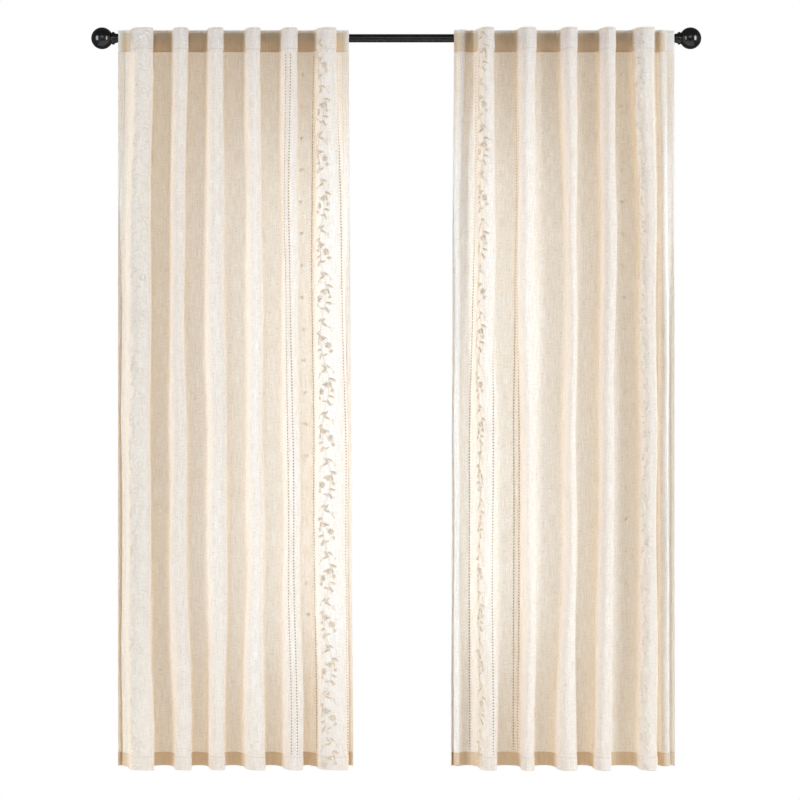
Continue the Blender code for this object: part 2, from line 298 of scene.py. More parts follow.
# Panels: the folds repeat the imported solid's own rows, at four levels below the top edge, in mm.
# Each fold is its left edge, its right edge and its depth as a share, at each level
cloth = {
    "width": 1321.0, "length": 2134.0, "plane": 13.8, "topEdge": 21.0,
    "heading": 64.0, "hem": 39.0, "sideHem": 20.0,
    "sideHemGap": 0.7, "turnedGap": 1.4, "sewnLift": 1.2,  # how far apart the sewn layers lie
    "sewnEdge": 2.0,
    "bellyDepth": 14.0, "bellyStart": 100.0, "bellyFull": 1300.0,
    "hemRise": 5.0, "hemRiseDepth": 45.0,  # the hem hangs a little higher between folds
    "hemRiseFrom": 1800.0, "hemRiseOver": 300.0,
    "wander": 2.0, "wanderWave": 640.0, "wanderTurn": 1.9,
    "shallow": 10.0, "deep": 150.0, "depthStep": 0.01,
    "columnGap": 4.35, "rowGap": 9.0,
}
levels = (68.0, 638.0, 1467.0, 2089.0)
foldOutline = (
    (-0.20, 0.00), (-0.03, 0.22), (0.07, 0.56), (0.22, 0.84), (0.50, 1.00), (0.80, 0.99),
    (0.97, 0.88), (1.00, 0.74), (0.92, 0.42), (0.85, 0.11), (0.92, 0.00),
)  # a standing fold seen from above: a share of its width, and a share of its depth
recessShares = (0.3, 0.7)
panels = {
    "Left": {
        "leftEdge": (-805, -805, -805, -805), "rightEdge": (-137, -134, -130, -125),
        "folds": (
            ((-766, -779, -779, -776), (-700, -708, -708, -700), (1, 1, 1, 1)),
            ((-645, -651, -651, -639), (-599, -611, -605, -588), (1, 0.96, 1, 1.04)),
            ((-544, -547, -539, -539), (-498, -496, -487, -493), (1, 1.04, 1, 0.96)),
            ((-435, -429, -429, -438), (-392, -386, -386, -380), (1, 0.98, 1.03, 1)),
            ((-332, -329, -323, -326), (-285, -285, -277, -268), (1, 1, 0.95, 1)),
            ((-231, -234, -234, -225), (-173, -146, -142, -138), (1, 0.92, 0.95, 1)),
        ),
        "tabs": (-785, -674, -572, -466, -361, -258, -157),
        "vines": ((108.0, -40.0, 0.06), (1171.0, 20.0, 0.66)),  # middle, start and strength of the painted shade
        "drawnRows": (965.0, 982.0, 1114.0, 1228.0), "denseEdges": (14.0, 20.0), "paleEnds": (20.0, 20.0),
        "sprigs": (1081.0,),
    },
    "Right": {
        "leftEdge": (167, 163, 161, 159), "rightEdge": (805, 805, 805, 806),
        "folds": (
            ((178, 173, 171, 170), (202, 187, 184, 183), (0.22, 0.14, 0.12, 0.10)),
            ((235, 232, 238, 241), (281, 283, 287, 290), (1, 1, 1, 1)),
            ((350, 350, 368, 359), (402, 396, 399, 399), (1, 1.03, 0.96, 1)),
            ((474, 491, 486, 460), (520, 520, 517, 517), (1, 0.96, 1, 1.03)),
            ((586, 589, 584, 569), (630, 632, 624, 618), (1, 1, 1.04, 1)),
            ((684, 702, 706, 700), (741, 748, 750, 752), (1, 1, 0.97, 0.97)),
            ((757, 766, 768, 770), (777, 782, 785, 788), (0.16, 0.12, 0.12, 0.12)),
        ),
        "tabs": (187, 315, 436, 551, 656, 785),
        "vines": ((150.0, 0.0, 0.66), (1112.0, -60.0, 0.06)),
        "drawnRows": (93.0, 207.0, 339.0, 356.0), "denseEdges": (72.0, 45.0), "paleEnds": (0.0, 45.0),
        "sprigs": (240.0, 1024.0),
    },
}


def smoothStep(t):
    t = np.clip(t, 0.0, 1.0)
    return t * t * (3.0 - 2.0 * t)


def atLevel(values, drop):
    for i in range(len(levels) - 1):
        if drop <= levels[i + 1]:
            share = smoothStep((drop - levels[i]) / (levels[i + 1] - levels[i]))
            return values[i] + (values[i + 1] - values[i]) * share
    return values[-1]


# The cloth's line seen from above, as its points with folds of no depth, and what a unit of depth adds
def sectionLines(panel, drop):
    free = smoothStep((drop - cloth["heading"]) / cloth["wanderWave"])
    full = smoothStep((drop - cloth["bellyStart"]) / (cloth["bellyFull"] - cloth["bellyStart"]))
    belly = cloth["bellyDepth"] * full
    start = atLevel(panel["leftEdge"], drop)
    line, depths = [(start, 0.0)], [0.0]
    for index, (lefts, rights, shares) in enumerate(panel["folds"]):
        turn = drop / cloth["wanderWave"] * 2 * math.pi + index * cloth["wanderTurn"]
        shift = cloth["wander"] * free * math.sin(turn)
        left, right = atLevel(lefts, drop) + shift, atLevel(rights, drop) + shift
        depth = atLevel(shares, drop)
        outline = [(left + (right - left) * across, depth * out) for across, out in foldOutline]
        line += [(start + (outline[0][0] - start) * share, -belly) for share in recessShares]
        depths += [0.0] * len(recessShares)
        line += [(x, 0.0) for x, _ in outline]
        depths += [out for _, out in outline]
        start = outline[-1][0]
    end = atLevel(panel["rightEdge"], drop)
    line += [(start + (end - start) * share, -belly) for share in recessShares] + [(end, 0.0)]
    depths += [0.0] * (len(recessShares) + 1)
    return np.array(line), np.array(depths)


# The section with folds as deep as the flat width needs
def hungSection(panel, drop):
    line, depths = sectionLines(panel, drop)

    def withDepth(depth):
        return line + np.stack([0.0 * depths, depths * depth], axis=1)

    shallow, deep = cloth["shallow"], cloth["deep"]
    while deep - shallow > cloth["depthStep"]:
        middle = (shallow + deep) / 2
        short = runAlong(withDepth(middle))[-1] < cloth["width"]
        shallow, deep = (middle, deep) if short else (shallow, middle)
    return withDepth(deep)


def runAlong(line):  # the distance of each point of a line from its start
    return np.concatenate([[0.0], np.cumsum(np.linalg.norm(np.diff(line, axis=0), axis=1))])


# A smooth curve through the points: centripetal Catmull-Rom, with steps points for each stretch
def smoothLine(points, steps=10):
    padded = np.vstack([2 * points[0] - points[1], points, 2 * points[-1] - points[-2]])
    knots = np.concatenate([[0.0], np.cumsum(np.linalg.norm(np.diff(padded, axis=0), axis=1) ** 0.5)])
    knot = [knots[i:len(knots) - 3 + i][:, None, None] for i in range(4)]
    blend = [padded[i:len(padded) - 3 + i][:, None, :] for i in range(4)]
    t = knot[1] + (knot[2] - knot[1]) * (np.arange(steps) / steps)[None, :, None]
    # Each round blends neighbours between two knots, until one point is left
    for pairs in (((0, 1), (1, 2), (2, 3)), ((0, 2), (1, 3)), ((1, 2),)):
        blend = [((knot[b] - t) * p + (t - knot[a]) * q) / (knot[b] - knot[a])
                 for (a, b), p, q in zip(pairs, blend, blend[1:])]
    return np.vstack([blend[0].reshape(-1, 2), points[-1]])


# Evenly spaced places from low to high, with special ones put in and those too near them left out
def linesWith(low, high, gap, special, near):
    even = np.linspace(low, high, int(round((high - low) / gap)) + 1)
    special = np.array(sorted(special))
    clear = [x for x in even if np.abs(special - x).min() > near]
    return np.unique(np.concatenate([clear, special]))


seams = {
    "side": 18.0, "headingTop": 4.5, "headingLow": 60.5, "hem": cloth["length"] - 37.0,
    "groove": 0.5, "grooveHalf": 1.6, "columnStep": 2.0, "rowStep": 1.8, "foldStep": 1.2,
    "columnsApart": 1.6, "rowsApart": 2.4,
}
seamSides = (seams["side"], cloth["width"] - seams["side"])
seamDrops = (seams["headingTop"], seams["headingLow"], seams["hem"])


def seamColumns(panel):
    special, step = [0.0, cloth["width"]], seams["columnStep"]
    for u in (*seamSides, *panel["drawnRows"]):
        special += [u - step, u, u + step]
    return linesWith(0.0, cloth["width"], cloth["columnGap"], special, seams["columnsApart"])


def seamRows():
    low, fold, edge, step = cloth["length"], seams["foldStep"], cloth["sewnEdge"], seams["rowStep"]
    heading, hem = cloth["heading"], low - cloth["hem"]
    special = [0.0, fold, heading, heading + edge, hem - edge, hem, low - fold, low]
    for drop in seamDrops:
        special += [drop - step, drop, drop + step]
    return linesWith(0.0, low, cloth["rowGap"], special, seams["rowsApart"])


# Soft troughs and ridges: u and drop of the top end, length, half width and depth in mm,
# and how far each leans across for its length
creases = {
    "Left": (
        (62, 90, 620, 9, -1.6, 0.02), (74, 900, 760, 10, -1.4, -0.01), (140, 300, 900, 12, 1.6, 0.01),
        (232, 72, 260, 9, -1.3, 0.03), (430, 80, 420, 10, -1.3, -0.02), (452, 760, 700, 11, -1.1, 0.01),
        (640, 70, 300, 9, -1.3, 0.03), (668, 640, 820, 12, -1.2, 0.0), (850, 74, 380, 10, -1.3, -0.03),
        (872, 980, 640, 11, -1.2, 0.02), (1046, 80, 500, 10, -1.2, 0.02), (1196, 120, 700, 9, 1.4, 0.01),
        (1206, 1180, 600, 10, 1.3, -0.01), (1278, 200, 1500, 8, -1.2, 0.0), (306, 1930, 190, 9, -2.4, -0.06),
        (1120, 1700, 330, 10, -1.8, 0.05), (98, 1760, 320, 12, 2.0, -0.05), (520, 1300, 540, 10, 1.1, -0.01),
    ),
    "Right": (
        (60, 70, 900, 7, -1.4, 0.01), (170, 100, 640, 10, 1.3, -0.01), (186, 1180, 720, 11, -1.3, 0.02),
        (262, 74, 320, 9, -1.3, 0.03), (468, 78, 460, 10, -1.2, -0.02), (486, 820, 660, 12, -1.1, 0.01),
        (690, 72, 340, 9, -1.3, 0.02), (712, 700, 900, 12, -1.2, 0.0), (902, 76, 420, 10, -1.3, -0.02),
        (930, 900, 700, 11, -1.1, 0.01), (1096, 90, 560, 11, 1.2, 0.02), (1150, 1240, 620, 10, -1.3, -0.02),
        (1262, 66, 1900, 7, -1.5, 0.0), (140, 1840, 250, 9, 2.2, 0.07), (1140, 1900, 200, 9, -2.4, 0.05),
        (1302, 72, 340, 6, -1.3, 0.0), (580, 1480, 480, 10, 1.1, -0.01),
    ),
}
creaseScale, creaseFade = 1.5, 4.0  # all are made half as deep again, and fade over a quarter at each end


def creaseHeights(side, u, drop):
    height = np.zeros((len(drop), len(u)))
    for at, top, length, halfWidth, depth, lean in creases[side]:
        away = (u[None, :] - at - lean * (drop[:, None] - top)) / halfWidth
        along = (drop[:, None] - top) / length
        ends = smoothStep(along * creaseFade) * smoothStep((1.0 - along) * creaseFade)
        height += creaseScale * depth * np.exp(-away ** 2) * ends
    return height


puckers = {
    "height": 1.1, "everywhere": 0.25, "reach": 34.0,
    "waves": 26, "across": (18.0, 46.0), "down": (24.0, 70.0),
    "slow": 1.4, "slowWaves": 10, "slowAcross": (22.0, 62.0), "slowDown": (180.0, 480.0),
    "calmEdge": 40.0, "calmTop": 80.0,
}


# Small ripples where the dense stitching of the vines draws the cloth in, and faint ones all over
def puckerHeights(side, u, drop):
    rng = random.Random(len(side) * 7)
    near = np.zeros(len(u))
    for middle, _, _ in panels[side]["vines"]:
        near = np.maximum(near, np.exp(-((u - middle) / puckers["reach"]) ** 2))
    height = np.zeros((len(drop), len(u)))
    for _ in range(puckers["waves"]):
        across, down = rng.uniform(*puckers["across"]), rng.uniform(*puckers["down"])
        turn = rng.uniform(0.0, 2 * math.pi)
        slant = math.pi * rng.choice((-1, 1))
        wave = np.sin(u[None, :] / across * slant + drop[:, None] / down * math.pi + turn)
        height += wave / math.sqrt(puckers["waves"])
    slow = np.zeros_like(height)
    for _ in range(puckers["slowWaves"]):
        across, down = rng.uniform(*puckers["slowAcross"]), rng.uniform(*puckers["slowDown"])
        turn = rng.uniform(0.0, 2 * math.pi)
        wave = np.sin(u[None, :] / across * math.pi + drop[:, None] / down * math.pi + turn)
        slow += wave / math.sqrt(puckers["slowWaves"])
    edges = smoothStep(u / puckers["calmEdge"]) * smoothStep((cloth["width"] - u) / puckers["calmEdge"])
    free = smoothStep((drop - cloth["heading"]) / puckers["calmTop"])
    height *= puckers["height"] * (puckers["everywhere"] + near)
    return height + puckers["slow"] * slow * edges * free[:, None]


# The front-facing normals of a grid of places
def outwards(place):
    normal = np.cross(np.gradient(place, axis=0), np.gradient(place, axis=1))
    return normal / np.linalg.norm(normal, axis=2)[:, :, None]


# The front of a panel as it hangs: u and drop of its columns and rows, with places and normals, in metres
def hangCloth(side):
    panel = panels[side]
    u, drop = seamColumns(panel), seamRows()
    place = np.empty((len(drop), len(u), 3))
    for row, level in enumerate(drop):
        line = smoothLine(hungSection(panel, level))
        run = runAlong(line)
        run *= cloth["width"] / run[-1]
        place[row, :, 0] = np.interp(u, run, line[:, 0])
        place[row, :, 1] = -cloth["plane"] - np.interp(u, run, line[:, 1])
        recess = 1.0 - smoothStep((-cloth["plane"] - place[row, :, 1]) / cloth["hemRiseDepth"])
        place[row, :, 2] = cloth["topEdge"] - level
        place[row, :, 2] += cloth["hemRise"] * recess * smoothStep(
            (level - cloth["hemRiseFrom"]) / cloth["hemRiseOver"])
    edge = cloth["sewnEdge"]
    sewn = np.maximum(1.0 - smoothStep((drop - cloth["heading"]) / edge),
                      smoothStep((drop - (cloth["length"] - cloth["hem"] - edge)) / edge))
    lift = cloth["sewnLift"] * sewn[:, None] + creaseHeights(side, u, drop) + puckerHeights(side, u, drop)
    for seam in seamDrops:
        lift -= seams["groove"] * np.exp(-((drop - seam) / seams["grooveHalf"]) ** 2)[:, None]
    for seam in seamSides:
        lift -= seams["groove"] * np.exp(-((u - seam) / seams["grooveHalf"]) ** 2)[None, :]
    place += outwards(place) * lift[:, :, None]
    return {"u": u, "drop": drop, "place": place * mm, "normal": outwards(place)}


# Places on the hung cloth at u and drop, in mm, each lifted off it by its own distance
def layOn(hung, u, drop, lift):
    def cell(values, lines):  # the line before each value, and the share of the way to the next line
        at = np.clip(np.interp(values, lines, np.arange(len(lines))), 0, len(lines) - 1.001)
        return at.astype(int), (at - at.astype(int))[:, None]

    (i0, fi), (j0, fj) = cell(u, hung["u"]), cell(drop, hung["drop"])

    def between(grid):
        upper = grid[j0, i0] * (1 - fi) + grid[j0, i0 + 1] * fi
        lower = grid[j0 + 1, i0] * (1 - fi) + grid[j0 + 1, i0 + 1] * fi
        return upper * (1 - fj) + lower * fj

    normal = between(hung["normal"])
    normal /= np.linalg.norm(normal, axis=1)[:, None]
    return between(hung["place"]) + normal * (lift * mm)[:, None]


# Columns and rows of the cloth that is turned to the back, in mm from the fold
hemLines = {
    "side": (cloth["sideHem"], 15.0, 10.0, 5.0, 1.2),
    "heading": (cloth["heading"], 55.0, 46.0, 37.0, 28.0, 19.0, 10.0, 4.0, 1.2),
    "hem": (1.2, 5.0, 12.0, 20.0, 28.0, 36.0, cloth["hem"]),
}
# What the sewn layers do to the light: how strongly they are painted tan as shade between the folds, less at
# the top edge
# # and the pale ends, and how much more or less of the light shines through them
layers = {
    "turnedShade": 0.2, "sewnFrontShade": 0.78, "topHalf": 9.0, "topShade": 0.1, "paleEdge": 20,
    "turnedMore": 0.5, "sewnLess": 0.2, "sewnOnFold": 0.25, "sideMore": 0.45, "denseLess": 0.2,
    "denseEdge": 8.0, "denseFrom": 150.0, "denseOver": 300.0, "least": 0.12, "most": 0.85,
    "rowTop": 6, "rowEnd": 4, "noRow": 20.0,
    "bendFrom": -0.3, "bendOver": 1.5, "backFrom": 1.0, "sideFrom": 0.5,
}


# The whole cloth as one sheet: the front, with its heading, hem and side hems turned to the back
def sewPanel(side, hung):
    panel, wide, long = panels[side], cloth["width"], cloth["length"]
    sideBack = -np.array(hemLines["side"])
    across = np.concatenate([sideBack, hung["u"], wide - sideBack[::-1]])
    down = np.concatenate([-np.array(hemLines["heading"]), hung["drop"], long + np.array(hemLines["hem"])])
    foldedU = np.where(across < 0, -across, np.where(across > wide, 2 * wide - across, across))
    foldedDrop = np.where(down < 0, -down, np.where(down > long, 2 * long - down, down))
    pastSide, pastEnd = np.maximum(-across, across - wide), np.maximum(-down, down - long)
    behind = cloth["sideHemGap"] * smoothStep((pastSide - layers["bendFrom"]) / layers["bendOver"])
    behindDown = cloth["turnedGap"] * smoothStep((pastEnd - layers["bendFrom"]) / layers["bendOver"])
    gridU, gridDrop = np.meshgrid(foldedU, foldedDrop)
    lift = -(behind[None, :] + behindDown[:, None])
    points = layOn(hung, gridU.ravel(), gridDrop.ravel(), lift.ravel())
    columns, rows = len(across), len(down)
    faces = gridFaces(rows, columns)
    flat = np.stack(np.meshgrid(across * mm, (long - down) * mm), axis=2).reshape(-1, 2)
    piece = buildPiece(f"cloth{side}", points, faces.tolist(), clothMaterial, "flat", flat)

    seamU = np.min([np.abs(across - seam) for seam in seamSides], axis=0)
    seamDown = np.min([np.abs(down - seam) for seam in seamDrops], axis=0)
    rowU = np.min([np.abs(across - row) for row in panel["drawnRows"]], axis=0)
    rowTop, rowEnd = cloth["heading"] + layers["rowTop"], long - cloth["hem"] - layers["rowEnd"]
    rowFree = np.where((down > rowTop) & (down < rowEnd), 0.0, layers["noRow"])
    # Between the folds the sewn layers are painted tan as shade, and a turned layer hands on more of the
    # light behind it; a sewn layer lets less light through, least between the folds
    recess = 1.0 - smoothStep((-cloth["plane"] * mm - points[:, 1]) / (cloth["hemRiseDepth"] * mm))
    recess = recess.reshape(rows, columns)
    fromLeft, fromRight = foldedU, wide - foldedU
    (leftPale, rightPale), edge = panel["paleEnds"], layers["paleEdge"]
    # painted shade mask: how far back the cloth lies between the folds, kept off the pale ends
    paintedTan = recess * smoothStep((fromLeft - leftPale + edge) / edge)
    paintedTan = paintedTan * smoothStep((fromRight - rightPale + edge) / edge)
    turnedBack = (down < -layers["backFrom"]) | (down > long + layers["backFrom"])
    sewnFront = ~turnedBack & ((down < cloth["heading"]) | (down > long - cloth["hem"]))
    topEdge = np.where(np.abs(down) < layers["topHalf"], layers["topShade"], 1.0)
    recessShade = ((layers["turnedShade"] * turnedBack + layers["sewnFrontShade"] * sewnFront) * topEdge)[:, None] * paintedTan
    hemBack = (across < -layers["sideFrom"]) | (across > wide + layers["sideFrom"])
    (leftDense, rightDense), edge = panel["denseEdges"], layers["denseEdge"]
    dense = np.maximum(smoothStep((leftDense - fromLeft) / edge), smoothStep((rightDense - fromRight) / edge))
    below = smoothStep((foldedDrop - layers["denseFrom"]) / layers["denseOver"])
    dense = (dense * ~hemBack)[None, :] * below[:, None]
    onFold = layers["sewnOnFold"]
    share = weave["through"] + layers["turnedMore"] * turnedBack[:, None]
    share = share - layers["sewnLess"] * sewnFront[:, None] * (onFold + (1 - onFold) * recess)
    share = share + layers["sideMore"] * hemBack[None, :] - layers["denseLess"] * dense
    share = np.clip(share, layers["least"], layers["most"])
    for name, values in (
        ("seamGap", np.minimum(seamU[None, :], seamDown[:, None]) * mm),
        ("rowGap", np.maximum(rowU[None, :], rowFree[:, None]) * mm),
        ("sewnLayerShade", recessShade),
        ("throughShare", share),
        ("sideHem", np.broadcast_to(1.0 * hemBack[None, :], (rows, columns))),
    ):
        piece.data.attributes.new(name, "FLOAT", "POINT").data.foreach_set("value", values.ravel())
    print(f"cloth{side}: {columns} columns, {rows} rows, {2 * len(faces)} triangles")
    return piece


# Embroidery: each motif is modelled once, flat, in mm, and copied onto the hung cloth
motifSizes = {
    "leaf": {"long": 17.5, "wide": 6.6, "high": 1.4},
    "petal": {"long": 10.0, "wide": 4.4, "high": 1.3},
    "knot": {"long": 2.8, "wide": 2.8, "high": 1.6},
}
motifShape = {"heel": 1.15, "taper": 0.55, "taperFrom": 0.35, "grooveHalf": 0.3, "groove": 0.6}


# From a model of unit size to a motif's or stitch's own, with the cloth's surface across its middle
def stretch(size):
    bpy.ops.transform.resize(
        value=(size["long"], size["wide"], size["high"] * 2), center_override=(0.0, 0.0, 0.0))


# A leaf, petal or knot lying along +X from the origin; a leaf has a groove down its middle
def makeMotif(name, segments, rings):
    size = motifSizes[name]
    deselectAll()
    bpy.ops.mesh.primitive_uv_sphere_add(segments=segments, ring_count=rings, radius=0.5)
    piece = bpy.context.object
    bpy.ops.object.mode_set(mode="EDIT")
    bpy.ops.transform.rotate(value=math.pi / 2, orient_axis="Y", center_override=(0.0, 0.0, 0.0))
    stretch(size)
    bpy.ops.transform.translate(value=(size["long"] / 2, 0.0, 0.0))
    bpy.ops.object.mode_set(mode="OBJECT")
    for vertex in piece.data.vertices:
        beyond = max(vertex.co.x / size["long"] - motifShape["taperFrom"], 0.0)
        vertex.co.y *= motifShape["heel"] - motifShape["taper"] * beyond if name != "knot" else 1.0
        if name == "leaf" and abs(vertex.co.y) < motifShape["grooveHalf"] and vertex.co.z > 0:
            vertex.co.z *= motifShape["groove"]
    points, faces = readMesh(piece)
    stitch = np.stack([points[:, 0] / size["long"], points[:, 1] / size["wide"]], axis=1)
    return {"points": points, "faces": faces, "stitch": stitch}


# A raised line of stem stitch along a flat route of points (across, down)
def makeStem(route, radius):
    deselectAll()
    curve = bpy.data.curves.new("stem", "CURVE")
    curve.dimensions = "3D"
    curve.bevel_depth = radius
    curve.bevel_resolution = 0
    line = curve.splines.new("POLY")
    line.points.add(len(route) - 1)
    for point, (x, y) in zip(line.points, route):
        point.co = (x, y, 0.0, 1.0)
    piece = bpy.data.objects.new("stem", curve)
    bpy.context.scene.collection.objects.link(piece)
    piece.select_set(True)
    bpy.context.view_layer.objects.active = piece
    bpy.ops.object.convert(target="MESH")
    points, faces = readMesh(bpy.context.object)
    stitch = np.stack([points[:, 1] / vine["stitchRun"], np.full(len(points), vine["stitchSide"])], axis=1)
    return {"points": points, "faces": faces, "stitch": stitch}


# Half a repeat of the vine, which the next half mirrors: across from the vine's middle, down, turn and size
vine = {
    "half": 134.0, "sway": 12.0, "stemRadius": 0.9, "stemSteps": 23, "tendrilRadius": 0.7, "lift": 0.15,
    "top": 4.0, "bottom": 3.0, "hemmed": 1.5, "nudge": 0.8, "stitchRun": 18.0, "stitchSide": 0.02,
    "petalTurn": 14.0, "knotBack": 1.8, "budSize": 0.8, "budTurns": (110.0, 70.0),
}
halfLeaves = (
    (7.0, 22.0, 150, 1.25), (7.0, 22.0, -140, 1.05), (5.0, 12.0, 42, 0.85), (11.5, 50.0, 22, 1.25),
    (12.0, 60.0, 66, 1.05), (12.0, 62.0, 160, 1.25), (11.0, 74.0, -158, 0.95), (9.0, 100.0, 15, 1.1),
    (6.0, 112.0, 62, 1.2), (4.0, 118.0, 196, 0.85),
)
halfBlossoms = ((-13.0, 88.0, 1.1, 8), (-21.0, 106.0, 0.66, 7), (21.0, 84.0, 0.66, 7))
halfBuds = ((-19.0, 34.0, 0.9), (-23.0, 46.0, 0.7), (24.0, 30.0, 0.8), (19.0, 122.0, 0.8), (-8.0, 66.0, 0.7))
halfTendrils = (
    ((8.0, 24.0), (-6.0, 30.0), (-23.0, 46.0)),
    ((12.0, 60.0), (2.0, 84.0), (-13.0, 88.0)),
    ((12.0, 52.0), (22.0, 62.0), (21.0, 84.0)),
    ((-13.0, 88.0), (-22.0, 92.0), (-21.0, 106.0)),
    ((6.0, 14.0), (20.0, 14.0), (24.0, 30.0)),
)


def bentRoute(row, steps=7):  # a tendril bends from its start to its end
    a, b, c = (np.array(point) for point in row)
    return [tuple(a * (1 - t) ** 2 + 2 * b * t * (1 - t) + c * t * t) for t in np.linspace(0, 1, steps)]


def swayed(down):
    return vine["sway"] * math.sin(math.pi * down / vine["half"])


def turned(points, degrees, size):
    c, s = math.cos(math.radians(degrees)) * size, math.sin(math.radians(degrees)) * size
    x, y, z = points.T
    return np.stack([x * c - y * s, x * s + y * c, z * size], axis=1)


# Every motif of half a repeat, placed flat
def vineHalf(leaf, petal, knot):
    parts = []

    def add(motif, x, y, degrees=0.0, size=1.0):
        parts.append({**motif, "points": turned(motif["points"], degrees, size) + np.array([x, y, 0.0])})

    drops = np.linspace(0, vine["half"], vine["stemSteps"])
    add(makeStem([(swayed(y), y) for y in drops], vine["stemRadius"]), 0.0, 0.0)
    for row in halfTendrils:
        add(makeStem(bentRoute(row), vine["tendrilRadius"]), 0.0, 0.0)
    for x, y, degrees, size in halfLeaves:
        add(leaf, x, y, degrees, size)
    for x, y, size, count in halfBlossoms:
        for i in range(count):
            add(petal, x, y, 360.0 * i / count + vine["petalTurn"], size)
        add(knot, x - vine["knotBack"] * size, y, 0.0, size)
    for x, y, size in halfBuds:
        add(knot, x, y, 0.0, size)
        add(petal, x, y, vine["budTurns"][x > 0], size * vine["budSize"])
    return parts


# A sprig: the turn and size of its leaves, and how the sprigs follow each other down the panel
sprig = {
    "leaves": ((90, 0.62), (40, 0.45), (140, 0.45)),
    "first": 60.0, "last": 90.0, "pitch": 92.0, "nudge": 3, "shadeStrength": 0.4,
}


# Both vines and the small sprigs of one panel, as one joined piece
def embroider(side, hung, half, leaf):
    rng = random.Random(5 if side == "Left" else 9)
    points, faces, stitch, shadeStrengths = [], [], [], []
    offset = 0
    low, high = vine["top"], cloth["length"] - vine["bottom"]

    def add(part, u, drop, flip, shadeStrength):
        nonlocal offset
        x, y, z = part["points"].T
        if (drop + y).max() > high or (drop + y).min() < low:
            return
        place = np.clip(drop + y, vine["hemmed"], cloth["length"] - vine["hemmed"])
        points.append(layOn(hung, u + flip * x, place, z + vine["lift"]))
        order = part["faces"] if flip < 0 else [face[::-1] for face in part["faces"]]
        faces.extend([tuple(corner + offset for corner in face) for face in order])
        stitch.append(part["stitch"])
        shadeStrengths.extend([shadeStrength] * len(x))
        offset += len(x)

    apart = vine["nudge"]
    for number, (middle, drop, shadeStrength) in enumerate(panels[side]["vines"]):
        flip = 1 if number == 0 else -1
        while drop < cloth["length"]:
            for part in half:
                nudge = np.array([rng.uniform(-apart, apart), rng.uniform(-apart, apart), 0.0])
                if part is not half[0]:  # the main stem keeps its place, to meet the next one
                    part = {**part, "points": part["points"] + nudge}
                add(part, middle, drop, flip, shadeStrength)
            drop += vine["half"]
            flip = -flip
    for middle in panels[side]["sprigs"]:
        drop = cloth["heading"] + sprig["first"]
        while drop < cloth["length"] - sprig["last"]:
            for degrees, size in sprig["leaves"]:
                part = {**leaf, "points": turned(leaf["points"], degrees, size)}
                add(part, middle + rng.uniform(-sprig["nudge"], sprig["nudge"]), drop, 1, sprig["shadeStrength"])
            drop += sprig["pitch"]
    points, stitch = np.vstack(points), np.vstack(stitch)
    piece = buildPiece(f"embroidery{side}", points, faces, flossMaterial, "stitch", stitch)
    # how strongly each vine's and sprig's leaves are painted with shade
    piece.data.attributes.new("shadeStrength", "FLOAT", "POINT").data.foreach_set("value", shadeStrengths)
    print(f"embroidery{side}: {sum(len(face) - 2 for face in faces)} triangles")
    return piece


# Sewing: one stitch and one drawn-thread bundle are modelled, and copied along their lines
stitch = {"long": 2.5, "pitch": 3.3, "wide": 0.8, "high": 0.55, "flatter": 0.7, "ends": 4.0, "sunk": -0.1}
bundle = {
    "long": 3.8, "wide": 4.9, "high": 0.7, "waist": 0.8, "sides": 5,
    "aboveHem": 6.0, "spare": 16.0, "phase": 0.75,
}


# A short length of thread along X; one with a waist is a bundle, drawn in at its middle by its tie
def makeThread(size):
    deselectAll()
    bpy.ops.mesh.primitive_cylinder_add(
        vertices=bundle["sides"], radius=0.5, depth=1.0, rotation=(0.0, math.pi / 2, 0.0))
    piece = bpy.context.object
    bpy.ops.object.transform_apply(rotation=True)
    bpy.ops.object.mode_set(mode="EDIT")
    stretch(size)
    if "waist" in size:
        bpy.ops.mesh.select_all(action="SELECT")
        bpy.ops.mesh.bisect(plane_co=(0.0, 0.0, 0.0), plane_no=(1.0, 0.0, 0.0))
    bpy.ops.object.mode_set(mode="OBJECT")
    for vertex in piece.data.vertices:
        vertex.co.z *= size.get("flatter", 1.0)
        vertex.co.y *= size.get("waist", 1.0) if abs(vertex.co.x) < 0.01 else 1.0
    return readMesh(piece)


# Copies of a small model on the cloth: each place is u, drop and whether it runs down the cloth
def copyAlong(hung, model, places, lift):
    base, faces = model
    places = np.array(places, dtype=float)
    x, y, z = base.T
    runsDown = places[:, 2][:, None]
    u = places[:, 0][:, None] + np.where(runsDown > 0, y[None, :], x[None, :])
    drop = places[:, 1][:, None] + np.where(runsDown > 0, x[None, :], -y[None, :])
    high = np.broadcast_to(z[None, :] + lift, u.shape)
    points = layOn(hung, u.ravel(), drop.ravel(), high.ravel())
    made = []
    for copy in range(len(places)):
        start = copy * len(base)
        made.extend([tuple(corner + start for corner in face[::-1]) for face in faces])
    return points, made


def sewStitches(side, hung, model):
    ends, places = stitch["ends"], []
    for drop in seamDrops:
        places += [(u, drop, 0) for u in np.arange(ends, cloth["width"] - ends, stitch["pitch"])]
    for u in seamSides:
        places += [(u, drop, 1) for drop in np.arange(ends, cloth["length"] - ends, stitch["pitch"])]
    points, faces = copyAlong(hung, model, places, stitch["sunk"])
    return buildPiece(f"stitches{side}", points, faces, threadMaterial)


def tieRows(side, hung, model):
    # A bundle lies three quarters of a pitch on, between the holes whose shadow the weave paints at one
    # quarter
    start = math.ceil((cloth["hem"] + bundle["aboveHem"]) / weave["rowPitch"]) + bundle["phase"]
    count = int((cloth["length"] - cloth["heading"] - cloth["hem"] - bundle["spare"]) / weave["rowPitch"])
    drops = [cloth["length"] - (start + i) * weave["rowPitch"] for i in range(count)]
    places = [(u, drop, 0) for u in panels[side]["drawnRows"] for drop in drops]
    points, faces = copyAlong(hung, model, places, 0.0)
    return buildPiece(f"drawnThreads{side}", points, faces, barMaterial)


